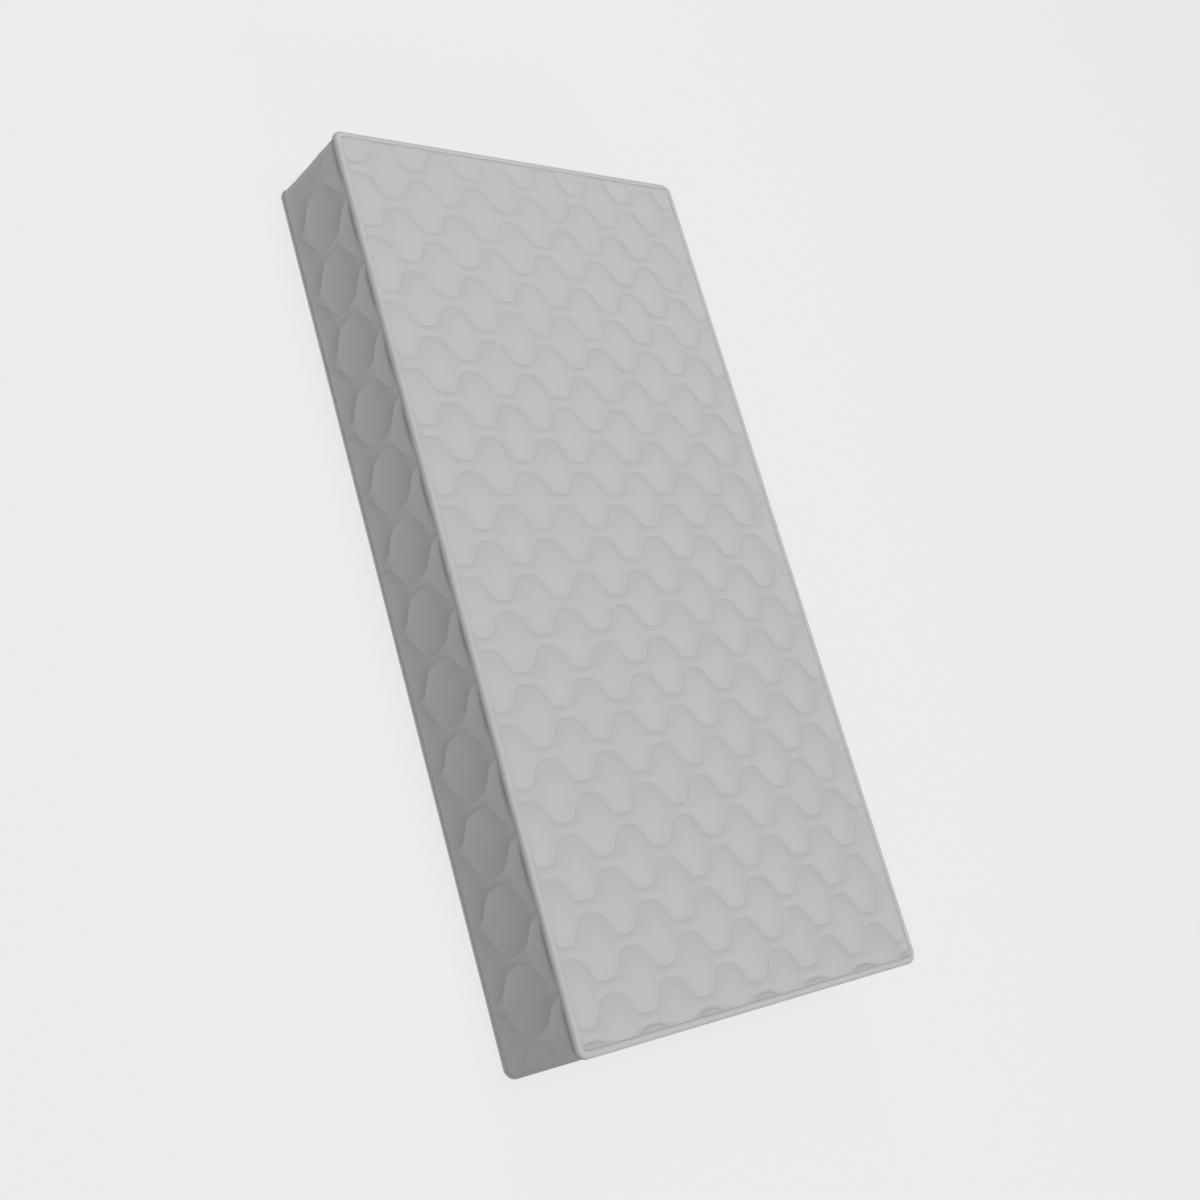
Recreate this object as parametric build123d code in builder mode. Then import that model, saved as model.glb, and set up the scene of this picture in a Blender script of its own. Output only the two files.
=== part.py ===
"""A single memory foam mattress in a zipped, quilted cover with piped edges.

Units are millimetres. The mattress lies flat with +Z up, its length along Y, and its origin at the centre of
the underside. The foam core is three layers in a knitted sleeve. Round it lie a top panel, a bottom panel and
a border, each a sandwich of face cloth, quilting foam and backing cloth. Piping closes the top and bottom
edges, and a zip runs along the foot of the +X side.
"""
from build123d import *
import os

# Overall size, measured across the piping
WIDTH = 1000
LENGTH = 2000
HEIGHT = 250

# Piping
PIPING_RADIUS = 9.25          # radius of the round outer edge
OUTER_CORNER_RADIUS = 25      # plan radius at the four corners
CORD_RADIUS = 5
CORD_DEPTH = 7                # from both outer faces to the cord's centre
CORD_CLEARANCE = 0.2          # between the cord and the tape's tunnel

# Quilted sandwich of the cover
BORDER_INSET = 1.8            # the border's face lies this far inside the piping
PANEL_DROP = 1.8              # the top panel's face lies this far below the piping
FACE_THICKNESS = 1.5
FILL_THICKNESS = 7.5
BACKING_THICKNESS = 1.0
QUILT_THICKNESS = FACE_THICKNESS + FILL_THICKNESS + BACKING_THICKNESS

# Foam core
SLEEVE_THICKNESS = 0.8
COMFORT_THICKNESS = 50
TRANSITION_THICKNESS = 50

# Zip along the foot of the +X side
ZIP_OPENING_LENGTH = 1900     # length of the gap in the border
ZIP_BAND_HEIGHT = 24          # height of that gap
ZIP_TAPE_THICKNESS = 0.8
ZIP_TAPE_DEPTH = 6.4          # from the border's face to the front of the tape
ZIP_GAP = 1.2                 # between the two tapes and between the two coils
COIL_WIDTH = 2.8
COIL_THICKNESS = 2.6
STOP_LENGTH = 4
STOP_CORNER_RADIUS = 1
END_TAB_LENGTH = 30
END_TAB_THICKNESS = 1

# Slider and pull
SLIDER_LENGTH = 16
SLIDER_WIDTH = 11
SLIDER_TAIL_WIDTH = 8.6
SLIDER_STOP_GAP = 1           # between the closed slider and the stops
PLATE_THICKNESS = 1.2
PLATE_CORNER_RADIUS = 1.5
SLIDER_CLEARANCE = 0.3
FLANGE_LENGTH = 13
FLANGE_THICKNESS = 1
POST_LENGTH = 3
POST_THICKNESS = 0.6
BRIDGE_LENGTH = 10
BRIDGE_WIDTH = 2
BRIDGE_BAR = 1
BRIDGE_WINDOW_HEIGHT = 2
BRIDGE_CORNER_RADIUS = 1.4
PULL_LENGTH = 30
PULL_WIDTH = 7
PULL_THICKNESS = 1.2          # also the diameter of the round bar that the pull turns on
PULL_CORNER_RADIUS = 2.2
PULL_WINDOW_LENGTH = 7.6      # from the middle of that bar
PULL_WINDOW_WIDTH = 3
GRIP_HOLE_RADIUS = 1.6
GRIP_HOLE_INSET = 4.5         # from the pull's far end to the hole's centre

# Where the piping's round surface meets the panels and the border
AXIS_RISE = PIPING_RADIUS - PANEL_DROP
AXIS_REACH = (PIPING_RADIUS**2 - AXIS_RISE**2) ** 0.5
SEAM_OFFSET = PIPING_RADIUS + AXIS_REACH

# Levels of the layers
TOP_FACE_Z = HEIGHT - PANEL_DROP
CORE_BOTTOM_Z = QUILT_THICKNESS
CORE_TOP_Z = TOP_FACE_Z - QUILT_THICKNESS
FOAM_BOTTOM_Z = CORE_BOTTOM_Z + SLEEVE_THICKNESS
FOAM_TOP_Z = CORE_TOP_Z - SLEEVE_THICKNESS
COMFORT_BOTTOM_Z = FOAM_TOP_Z - COMFORT_THICKNESS
TRANSITION_BOTTOM_Z = COMFORT_BOTTOM_Z - TRANSITION_THICKNESS

# Places of the zip
BORDER_FACE_X = WIDTH / 2 - BORDER_INSET
TAPE_FRONT_X = BORDER_FACE_X - ZIP_TAPE_DEPTH
TAPE_BACK_X = TAPE_FRONT_X - ZIP_TAPE_THICKNESS
COIL_FRONT_X = TAPE_FRONT_X + COIL_THICKNESS
ZIP_BOTTOM_Z = SEAM_OFFSET
ZIP_TOP_Z = ZIP_BOTTOM_Z + ZIP_BAND_HEIGHT
ZIP_CENTRE_Z = ZIP_BOTTOM_Z + ZIP_BAND_HEIGHT / 2
CHAIN_END_Y = ZIP_OPENING_LENGTH / 2 - END_TAB_LENGTH
COIL_END_Y = CHAIN_END_Y - STOP_LENGTH
SLIDER_Y = -(COIL_END_Y - SLIDER_STOP_GAP - SLIDER_LENGTH / 2)
TOP_PLATE_X = COIL_FRONT_X + SLIDER_CLEARANCE
PLATE_FRONT_X = TOP_PLATE_X + PLATE_THICKNESS
BACK_PLATE_X = TAPE_BACK_X - SLIDER_CLEARANCE - PLATE_THICKNESS
PIVOT_X = PLATE_FRONT_X + BRIDGE_WINDOW_HEIGHT / 2


def outline(inset):
    """Draw the mattress's rounded plan outline, set in from the outer edge, in the open sketch."""
    RectangleRounded(WIDTH - 2 * inset, LENGTH - 2 * inset, OUTER_CORNER_RADIUS - inset)


def slab(inset, bottom, top):
    """Make a flat layer with the mattress's outline between two levels."""
    with BuildPart() as layer:
        with BuildSketch(Plane.XY.offset(bottom)):
            outline(inset)
        extrude(amount=top - bottom)
    return layer


def band(inset, thickness, bottom, top):
    """Make an upright band round the four sides, with the zip's gap in the foot of its +X side."""
    with BuildPart() as ring:
        with BuildSketch(Plane.XY.offset(bottom)):
            outline(inset)
            RectangleRounded(
                WIDTH - 2 * (inset + thickness),
                LENGTH - 2 * (inset + thickness),
                OUTER_CORNER_RADIUS - inset - thickness,
                mode=Mode.SUBTRACT,
            )
        extrude(amount=top - bottom)
        with BuildSketch(Plane.YZ.offset(WIDTH / 2 - inset - thickness)):
            with Locations((0, ZIP_CENTRE_Z)):
                Rectangle(ZIP_OPENING_LENGTH, ZIP_BAND_HEIGHT)
        extrude(amount=thickness, mode=Mode.SUBTRACT)
    return ring


def edge_path(inset, level):
    """Draw the rounded rectangle that the piping follows, starting in the middle of the -Y end."""
    half_width = WIDTH / 2 - inset
    half_length = LENGTH / 2 - inset
    with BuildLine(Plane.XY.offset(level)) as path:
        Polyline(
            (0, -half_length),
            (half_width, -half_length),
            (half_width, half_length),
            (-half_width, half_length),
            (-half_width, -half_length),
            (0, -half_length),
        )
        corners = path.vertices().filter_by(lambda corner: abs(corner.X) > half_width / 2)
        fillet(corners, OUTER_CORNER_RADIUS - inset)
    return path


def piping_tape(edge_z, inward, core_level):
    """Make the tape round one edge: a round bead outside, with flat faces against the panel and border.

    edge_z is the level of the piping's outermost line, inward is -1 under the top edge and +1 over the
    bottom edge, and core_level is how far from edge_z the foam core begins.
    """
    axis_z = edge_z + inward * PIPING_RADIUS
    half_length = LENGTH / 2
    seam_v = -half_length + SEAM_OFFSET
    face_v = -half_length + BORDER_INSET
    core_v = face_v + QUILT_THICKNESS
    middle = PIPING_RADIUS * (1 - 0.5**0.5)
    cord_z = edge_z + inward * CORD_DEPTH
    path = edge_path(PIPING_RADIUS, axis_z)
    with BuildPart() as bead:
        with BuildSketch(Plane.YZ) as section:
            with BuildLine():
                ThreePointArc(
                    (seam_v, edge_z + inward * PANEL_DROP),
                    (-half_length + middle, edge_z + inward * middle),
                    (face_v, edge_z + inward * SEAM_OFFSET),
                )
                Polyline(
                    (face_v, edge_z + inward * SEAM_OFFSET),
                    (core_v, edge_z + inward * SEAM_OFFSET),
                    (core_v, edge_z + inward * core_level),
                    (seam_v, edge_z + inward * core_level),
                    (seam_v, edge_z + inward * PANEL_DROP),
                )
            make_face()
            with Locations((-half_length + CORD_DEPTH, cord_z)):
                Circle(CORD_RADIUS + CORD_CLEARANCE, mode=Mode.SUBTRACT)
        sweep(sections=section.sketch, path=path.line)
    return bead


def piping_cord(edge_z, inward):
    """Make the round filler cord inside one edge's piping."""
    cord_z = edge_z + inward * CORD_DEPTH
    path = edge_path(CORD_DEPTH, cord_z)
    with BuildPart() as cord:
        with BuildSketch(Plane.YZ) as section:
            with Locations((-LENGTH / 2 + CORD_DEPTH, cord_z)):
                Circle(CORD_RADIUS)
        sweep(sections=section.sketch, path=path.line)
    return cord


def zip_strip(back_x, front_x, half_length, near_z, far_z):
    """Make a strip of the zip that runs along Y between two levels."""
    with BuildPart() as strip:
        with BuildSketch(Plane.YZ.offset(back_x)):
            with Locations((0, (near_z + far_z) / 2)):
                Rectangle(2 * half_length, abs(far_z - near_z))
        extrude(amount=front_x - back_x)
    return strip


def finish(piece, name):
    """Label a finished piece and write its file."""
    piece.part.label = name
    export_step(piece.part, f"parts/{name}.step")


os.makedirs("parts", exist_ok=True)

# Foam core: three glued layers
foam_inset = BORDER_INSET + QUILT_THICKNESS + SLEEVE_THICKNESS
finish(slab(foam_inset, COMFORT_BOTTOM_Z, FOAM_TOP_Z), "comfort_foam")
finish(slab(foam_inset, TRANSITION_BOTTOM_Z, COMFORT_BOTTOM_Z), "transition_foam")
finish(slab(foam_inset, FOAM_BOTTOM_Z, TRANSITION_BOTTOM_Z), "support_foam")

# Knitted sleeve round the foam
sleeve_inset = BORDER_INSET + QUILT_THICKNESS
with BuildPart() as inner_sleeve:
    with BuildSketch(Plane.XY.offset(CORE_BOTTOM_Z)):
        outline(sleeve_inset)
    extrude(amount=CORE_TOP_Z - CORE_BOTTOM_Z)
    with BuildSketch(Plane.XY.offset(FOAM_BOTTOM_Z)):
        outline(foam_inset)
    extrude(amount=FOAM_TOP_Z - FOAM_BOTTOM_Z, mode=Mode.SUBTRACT)
finish(inner_sleeve, "inner_sleeve")

# Top panel, from its face down
fill_top_z = TOP_FACE_Z - FACE_THICKNESS
finish(slab(SEAM_OFFSET, fill_top_z, TOP_FACE_Z), "top_panel_fabric")
finish(slab(SEAM_OFFSET, fill_top_z - FILL_THICKNESS, fill_top_z), "top_panel_fill")
finish(slab(SEAM_OFFSET, CORE_TOP_Z, CORE_TOP_Z + BACKING_THICKNESS), "top_panel_backing")

# Bottom panel, from the underside up
finish(slab(SEAM_OFFSET, 0, FACE_THICKNESS), "bottom_panel_fabric")
finish(slab(SEAM_OFFSET, FACE_THICKNESS, FACE_THICKNESS + FILL_THICKNESS), "bottom_panel_fill")
finish(slab(SEAM_OFFSET, CORE_BOTTOM_Z - BACKING_THICKNESS, CORE_BOTTOM_Z), "bottom_panel_backing")

# Border, from its face inward
border_bottom_z = SEAM_OFFSET
border_top_z = HEIGHT - SEAM_OFFSET
fill_inset = BORDER_INSET + FACE_THICKNESS
backing_inset = fill_inset + FILL_THICKNESS
finish(band(BORDER_INSET, FACE_THICKNESS, border_bottom_z, border_top_z), "border_fabric")
finish(band(fill_inset, FILL_THICKNESS, border_bottom_z, border_top_z), "border_fill")
finish(band(backing_inset, BACKING_THICKNESS, border_bottom_z, border_top_z), "border_backing")

# Piping round the top and bottom edges
finish(piping_tape(HEIGHT, -1, HEIGHT - CORE_TOP_Z), "top_piping_tape")
finish(piping_cord(HEIGHT, -1), "top_piping_cord")
finish(piping_tape(0, 1, CORE_BOTTOM_Z), "bottom_piping_tape")
finish(piping_cord(0, 1), "bottom_piping_cord")

# Zip tapes and coils, above and below the zip's centre line
for side, direction in (("upper", 1), ("lower", -1)):
    near_z = ZIP_CENTRE_Z + direction * ZIP_GAP / 2
    tape_z = ZIP_CENTRE_Z + direction * ZIP_BAND_HEIGHT / 2
    coil_z = near_z + direction * COIL_WIDTH
    tape = zip_strip(TAPE_BACK_X, TAPE_FRONT_X, ZIP_OPENING_LENGTH / 2, near_z, tape_z)
    finish(tape, f"zip_tape_{side}")
    coil = zip_strip(TAPE_FRONT_X, COIL_FRONT_X, COIL_END_Y, near_z, coil_z)
    finish(coil, f"zip_coil_{side}")

# Crimped stops at the two ends of the chain
stop_y = COIL_END_Y + STOP_LENGTH / 2
with BuildPart() as zip_end_stops:
    with BuildSketch(Plane.YZ.offset(TAPE_FRONT_X)):
        with Locations((-stop_y, ZIP_CENTRE_Z), (stop_y, ZIP_CENTRE_Z)):
            RectangleRounded(STOP_LENGTH, ZIP_GAP + 2 * COIL_WIDTH, STOP_CORNER_RADIUS)
    extrude(amount=COIL_THICKNESS)
finish(zip_end_stops, "zip_end_stops")

# Fabric tabs over the tape ends
tab_y = CHAIN_END_Y + END_TAB_LENGTH / 2
with BuildPart() as zip_end_tabs:
    with BuildSketch(Plane.YZ.offset(TAPE_FRONT_X)):
        with Locations((-tab_y, ZIP_CENTRE_Z), (tab_y, ZIP_CENTRE_Z)):
            Rectangle(END_TAB_LENGTH, ZIP_BAND_HEIGHT)
    extrude(amount=END_TAB_THICKNESS)
finish(zip_end_tabs, "zip_end_tabs")

# Slider: two plates joined by a post, side flanges round the coils, and a bridge for the pull
slider_plane = Plane(origin=(0, SLIDER_Y, ZIP_CENTRE_Z), x_dir=(0, 1, 0), z_dir=(1, 0, 0))
flange_y = SLIDER_LENGTH / 2
flange_depth = TOP_PLATE_X - TAPE_FRONT_X - SLIDER_CLEARANCE
with BuildPart() as zip_slider:
    for plate_x in (BACK_PLATE_X, TOP_PLATE_X):
        with BuildSketch(slider_plane.offset(plate_x)) as plate:
            with BuildLine():
                Polyline(
                    (-flange_y, -SLIDER_WIDTH / 2),
                    (0, -SLIDER_WIDTH / 2),
                    (flange_y, -SLIDER_TAIL_WIDTH / 2),
                    (flange_y, SLIDER_TAIL_WIDTH / 2),
                    (0, SLIDER_WIDTH / 2),
                    (-flange_y, SLIDER_WIDTH / 2),
                    close=True,
                )
            make_face()
            fillet(plate.vertices(), PLATE_CORNER_RADIUS)
        extrude(amount=PLATE_THICKNESS)
    flange_z = ZIP_GAP / 2 + COIL_WIDTH + SLIDER_CLEARANCE + FLANGE_THICKNESS / 2
    with BuildSketch(slider_plane.offset(TOP_PLATE_X - flange_depth)):
        with Locations((0, -flange_z), (0, flange_z)):
            Rectangle(FLANGE_LENGTH, FLANGE_THICKNESS)
    extrude(amount=flange_depth)
    with BuildSketch(slider_plane.offset(BACK_PLATE_X)):
        with Locations((-flange_y + POST_LENGTH, 0)):
            Rectangle(POST_LENGTH, POST_THICKNESS)
    extrude(amount=PLATE_FRONT_X - BACK_PLATE_X)
    bridge_height = BRIDGE_WINDOW_HEIGHT + BRIDGE_BAR
    with BuildSketch(Plane.XY.offset(ZIP_CENTRE_Z - BRIDGE_WIDTH / 2)) as arch:
        with Locations((PLATE_FRONT_X + bridge_height / 2, SLIDER_Y)):
            Rectangle(bridge_height, BRIDGE_LENGTH)
        fillet(arch.vertices().group_by(Axis.X)[-1], BRIDGE_CORNER_RADIUS)
        with Locations((PIVOT_X, SLIDER_Y)):
            Rectangle(BRIDGE_WINDOW_HEIGHT, BRIDGE_LENGTH - 2 * BRIDGE_BAR, mode=Mode.SUBTRACT)
    extrude(amount=BRIDGE_WIDTH)
finish(zip_slider, "zip_slider")

# Pull tab: a flat tab with two arms, and a round bar between them that turns under the bridge
tab_reach = PULL_LENGTH - PULL_THICKNESS / 2
with BuildPart() as zip_pull:
    with BuildSketch(slider_plane.offset(PIVOT_X - PULL_THICKNESS / 2)) as tab:
        with Locations((tab_reach / 2, 0)):
            Rectangle(tab_reach, PULL_WIDTH)
        fillet(tab.vertices().group_by(Axis.X)[-1], PULL_CORNER_RADIUS)
        with Locations((PULL_WINDOW_LENGTH / 2, 0)):
            Rectangle(PULL_WINDOW_LENGTH, PULL_WINDOW_WIDTH, mode=Mode.SUBTRACT)
        with Locations((tab_reach - GRIP_HOLE_INSET, 0)):
            Circle(GRIP_HOLE_RADIUS, mode=Mode.SUBTRACT)
    extrude(amount=PULL_THICKNESS)
    with Locations((PIVOT_X, SLIDER_Y, ZIP_CENTRE_Z)):
        Cylinder(PULL_THICKNESS / 2, PULL_WIDTH)
finish(zip_pull, "zip_pull")
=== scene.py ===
"""Memory foam mattress: its quilted cover, piping and zip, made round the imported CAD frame.

Units are metres in the CAD frame: X across the width, Y along the length, Z up from the underside. Each face
cloth is a quilt between wavy stitch lines, settled by a cloth simulation. The foam core, the sleeve, the
backings, the cords and the zip's metal parts stay as CAD nodes with better materials.
"""
import bmesh
import bpy
import math
import numpy as np
from mathutils import Matrix, Vector, noise
from mathutils.kdtree import KDTree


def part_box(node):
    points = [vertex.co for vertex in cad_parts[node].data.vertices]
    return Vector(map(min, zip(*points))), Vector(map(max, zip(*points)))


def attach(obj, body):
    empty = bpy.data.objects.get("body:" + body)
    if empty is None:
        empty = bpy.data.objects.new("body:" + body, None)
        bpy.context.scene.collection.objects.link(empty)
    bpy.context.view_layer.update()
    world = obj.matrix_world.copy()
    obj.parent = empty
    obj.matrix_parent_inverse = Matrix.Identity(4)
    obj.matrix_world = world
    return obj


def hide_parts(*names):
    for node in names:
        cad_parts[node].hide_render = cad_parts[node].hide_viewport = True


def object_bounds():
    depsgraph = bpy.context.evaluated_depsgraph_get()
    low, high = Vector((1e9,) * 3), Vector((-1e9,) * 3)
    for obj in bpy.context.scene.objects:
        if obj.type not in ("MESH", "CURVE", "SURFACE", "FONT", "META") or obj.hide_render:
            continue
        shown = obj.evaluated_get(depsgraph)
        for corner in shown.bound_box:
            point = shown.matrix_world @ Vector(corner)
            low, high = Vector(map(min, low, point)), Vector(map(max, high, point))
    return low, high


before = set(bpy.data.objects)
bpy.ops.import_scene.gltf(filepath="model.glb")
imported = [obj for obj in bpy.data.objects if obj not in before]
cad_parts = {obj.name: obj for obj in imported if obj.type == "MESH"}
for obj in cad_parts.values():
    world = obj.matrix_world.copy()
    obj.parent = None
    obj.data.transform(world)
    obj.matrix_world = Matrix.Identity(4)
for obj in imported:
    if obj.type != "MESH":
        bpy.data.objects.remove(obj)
cad_low, cad_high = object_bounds()

MATTRESS = "mattress"
MM = 0.001

# Quilting of the two panels: stitch lines run across the width
PANEL_WAVE = dict(period=156.2 * MM, spacing=78.2 * MM, swing=31.1 * MM, square=-4.5 * MM, round=0.6 * MM,
                  start_u=-379.0 * MM, start_v=17.9 * MM)
# Quilting of the border: stitch lines run up the side, with one crest at mid-height
BORDER_WAVE = dict(period=234.7 * MM, spacing=78.17 * MM, swing=33.5 * MM, square=-4.5 * MM, round=1.4 * MM,
                   start_u=126.8 * MM, start_v=113.4 * MM)

# Cloth and padding
CLOTH_THICKNESS = 1.0 * MM
FILL_GAP = 0.3 * MM
THINNEST_FILL = 0.08 * MM       # the least padding left under a stitch line
TOP_PUFF = 8.0 * MM
TOP_CROWN_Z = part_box("top_panel_fabric")[1].z + 1.5 * MM
BOTTOM_PUFF = 3.2 * MM
BORDER_PUFF = 6.5 * MM
BORDER_PROUD = 0.5 * MM         # how far the border's crowns stand out past its CAD face
TOP_REACH = 32 * MM             # how far from a stitch line the cloth still rises
BOTTOM_REACH = 14 * MM          # the same on the underside, where the weight presses it flat
BORDER_REACH = 46 * MM
BORDER_STEEPEST = 12.5 * MM     # the border's cloth is steepest this far from a stitch line
PANEL_GROOVE = (0.8 * MM, 3.2 * MM)  # depth and half width of the dent that the thread pulls
BORDER_GROOVE = (0.35 * MM, 3.0 * MM)
CROWN_SWELL = 1.04              # the fullest cells rise this much above the plain puff
UNEVEN = 0.05                   # share by which the cells differ in fullness
UNEVEN_SCALE = 9
PILLOW_SHARPNESS = 1.5          # how closely the border's steep part is drawn in to its stitch lines
PROFILE_STEPS = 240
# Painted shade: cloth darkened in creases, along seams and under the piping; each is a share and a reach
PAINTED_SHADE_TONE = 0.5               # painted shade: how light the cloth is painted in the deepest crease
PANEL_CREASE_SHADE = ((0.11, 2.3 * MM), (0.055, 14 * MM))  # shares of the painted shade along the stitch lines and in the cells' valleys, and how far each reaches
BORDER_CREASE_SHADE = ((0.03, 1.8 * MM),)
PANEL_SEAM_SHADE = ((0.16, 2.0 * MM),)
BORDER_TOP_SHADE = ((1.2, 3.4 * MM),)
BORDER_SEAM_SHADE = ((0.1, 2.0 * MM),)
PIPING_CREASE_SHADES = {1: ((2.0, 3.8 * MM),), -1: ((0.2, 3.0 * MM),)}  # painted shade on the bead where it meets the border, on the upper bead and the lower one
PIPING_PANEL_SHADE = ((0.18, 2.5 * MM),)
PANEL_EDGE = 2.2 * MM           # how deep the face is sewn down along the piping, and how far that reaches
PANEL_EDGE_REACH = 16 * MM
BORDER_EDGE = (0.5 * MM, 2.6 * MM)  # the same along the border's lower and upper seams
BORDER_EDGE_REACH = (50 * MM, 9 * MM)
CORNER_REACH = 60 * MM          # the border is stretched smoother this close to the upright corners
CORNER_TAUT = 0.75              # share of the border's relief that is lost there
CORNER_SET = 1.2 * MM           # how far inside its CAD face it is drawn there
EDGE_STEPS = (1.5 * MM, 4 * MM)  # how far inside the edge the grids' outermost rows lie
EDGE_GAP = 3.6 * MM             # how much more room the padding leaves where the cloth is sewn down
EDGE_GAP_REACH = 1.5            # how far in from the edge that room goes, in reaches of the sewn edge
COLUMNS_PER_PERIOD = 24
BORDER_COLUMNS = 45
BORDER_PASSES = 4               # rounds of fitting the border's rows to its stepped foot
CREST_CROWDING = 0.4            # how much closer the grid lies at the crests of the stitch lines
ROW_STEPS = (0.0, 0.03, 0.08, 0.18, 0.35, 0.6, 1.0)
LINE_SPARE = 20 * MM            # how far the stitch lines are searched past the cloth's edges
NEAR_LINE = 1.5 * MM            # a point of a stitched row this near its line counts as on it
HELD_DISTANCE = 0.1 * MM        # a point this near a stitch line or a seam is held in the simulation
PANEL_MERGE = 0.3 * MM          # points of a panel closer than this are merged

# Border: its ends are sewn together near a corner, and over the zip its foot is a turned hem
SEAM_TO_CORNER = 35 * MM
SEAM_DIP = 2.5 * MM
SEAM_DIP_REACH = 9 * MM
ZIP_END_STEP = 14 * MM          # length over which the border's foot steps up at the zip's ends
FACING_SIDE = 0.99              # the border is on the zip side where it faces +X this much
HEM = ((3.1 * MM, 0.9 * MM), (1.9 * MM, 1.2 * MM), (0.8 * MM, 0.9 * MM))

# Stitches
STITCH = 4 * MM
STITCH_GAP = 0.25               # share of a stitch's length that lies inside the cloth
THREAD_RADIUS = 0.35 * MM
THREAD_LIFT = 0.6               # how far the thread's middle stands out of the cloth, in thread radii
SEWN_MARGIN = 7 * MM            # the quilting stops this far from the seams
CURVE_POINTS = 4000

# Cloth simulation
PRESSURE = 1.5
SETTLE_FRAMES = 12
PANEL_CAP = 0.8 * MM
BOTTOM_CAP = 0.6 * MM
BORDER_CAP = 0.8 * MM

# Piping
PIPING_RADIUS = 9.25 * MM
OUTER_CORNER = 25 * MM
TUNNEL_RADIUS = 5.2 * MM
TUNNEL_DEPTH = 7 * MM
BEAD_SIDES = 19
BEAD_STEP = 4 * MM
BEAD_WOBBLE = 0.2 * MM
BEAD_FIXED_SIDES = 3            # sides at each end of the bead that stay put, where it is sewn down
TUNNEL_SIDES = 12
FLANGE_ANGLE = 50               # edges of the piping sharper than this many degrees look sharp

# Zip
COIL_PITCH = 2.0 * MM
COIL_WIRE = 0.36 * MM
COIL_HEAD = 0.7 * MM            # how far a tooth reaches past the zip's middle line
COIL_HEEL = 0.35 * MM
LOOP_POINTS = 10
LOOP_SQUARENESS = 0.6           # 1 gives round loops, and less gives flatter sides and ends
WIRE_SIDES = 5
TAPE_RIPPLE = 0.12 * MM
TAPE_POINTS = (381, 9)          # along and across
TAB_FOLD = 0.5 * MM
TAB_FOLD_REACH = 1.5 * MM
TAB_PILLOW = 0.35 * MM
TAB_POINTS = (13, 11)

# Camera, from the centre of the underside, in metres and degrees
CAMERA_PLACE = (-2.4686, -0.9696, 2.7662)
CAMERA_AZIMUTH = -69.63
CAMERA_ELEVATION = 45.25
CAMERA_ROLL = 59.12
LENS = 50                       # focal length in millimetres

# Light: each softbox is its place, its size and its power in watts, and faces the middle of the mattress
FLOOR_HALF = 60                 # half the floor's width in metres, and the height of its walls
FLOOR_GAP = 0.6 * MM
FLOOR_GREY = (0.06, 0.06, 0.06)
FLOOR_GLOW = 0.78
WORLD_LIGHT = 0.12
MIDDLE = (0.0, 0.0, 0.2)
SOFTBOXES = {
    "overhead": ((0.28, 0.0, 8.2), 2.5, 331),
    "head": ((0.0, 2.5, 3.3), 1.5, 27),
    "far_head": ((0.0, 7.25, 3.58), 2.5, 74),
    "far_foot": ((0.0, -7.25, 3.58), 2.5, 178),
    "far_corner": ((-5.13, -5.13, 3.58), 2.5, 86),
    "low": ((-5.31, 3.06, -4.94), 2.5, 307),
    "zip_side": ((7.14, -1.26, -3.18), 2.5, 200),
}


# ---------------------------------------------------------------- materials

CLOTH_TONE = dict(base=0.42, thread=0.10, fuzz=0.12, shade=0.18)  # parts of the cloth's light and dark
FUZZ_ROUGHNESS = 0.12
FUZZ_HEIGHT = 1.5               # height of the cloth's fuzz beside that of its threads
COLUMN_HEIGHT = 0.45            # height of a knit's columns beside that of its rows
HERRINGBONE_TURN = 3.0          # thread crossings between two turns of a herringbone
KNIT_TURN = 0.5


def new_material(name):
    """Make an empty material and return it with its tree, its shader node and a node maker."""
    material = bpy.data.materials.new(name)
    material.use_nodes = True
    tree = material.node_tree
    shader = tree.nodes["Principled BSDF"]

    def node(kind, inputs=(), **settings):
        made = tree.nodes.new(kind)
        for key, value in settings.items():
            setattr(made, key, value)
        for key, value in dict(inputs).items():
            if isinstance(value, bpy.types.NodeSocket):
                tree.links.new(value, made.inputs[key])
            else:
                made.inputs[key].default_value = value
        return made

    return material, tree, shader, node


def math_node(node, operation, a, b=0.0, c=0.0):
    """Return the output of a math node that works on two or three values or sockets."""
    return node("ShaderNodeMath", {0: a, 1: b, 2: c}, operation=operation).outputs[0]


def scaled(node, value, amount, base):
    """Return the base plus that amount of a value."""
    return math_node(node, "MULTIPLY_ADD", value, amount, base)


def darker(colour, share):
    """Return a colour dimmed to a share of itself."""
    return [c * share for c in colour]


def speckle(node, place, scale, detail):
    """Return the strength of a noise texture."""
    return node("ShaderNodeTexNoise", {"Vector": place, "Scale": scale, "Detail": detail}).outputs["Fac"]


def connect(tree, shader, colour, rough, bump=None):
    """Connect a material's colour, roughness and bump to its shader."""
    tree.links.new(colour, shader.inputs["Base Color"])
    tree.links.new(rough, shader.inputs["Roughness"])
    if bump:
        tree.links.new(bump.outputs[0], shader.inputs["Normal"])


def mix_colour(node, factor, dark, light):
    """Return a colour socket that runs from dark to light with the factor."""
    mixed = node("ShaderNodeMix", {0: factor, 6: (*dark, 1), 7: (*light, 1)}, data_type="RGBA")
    return mixed.outputs[2]


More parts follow.
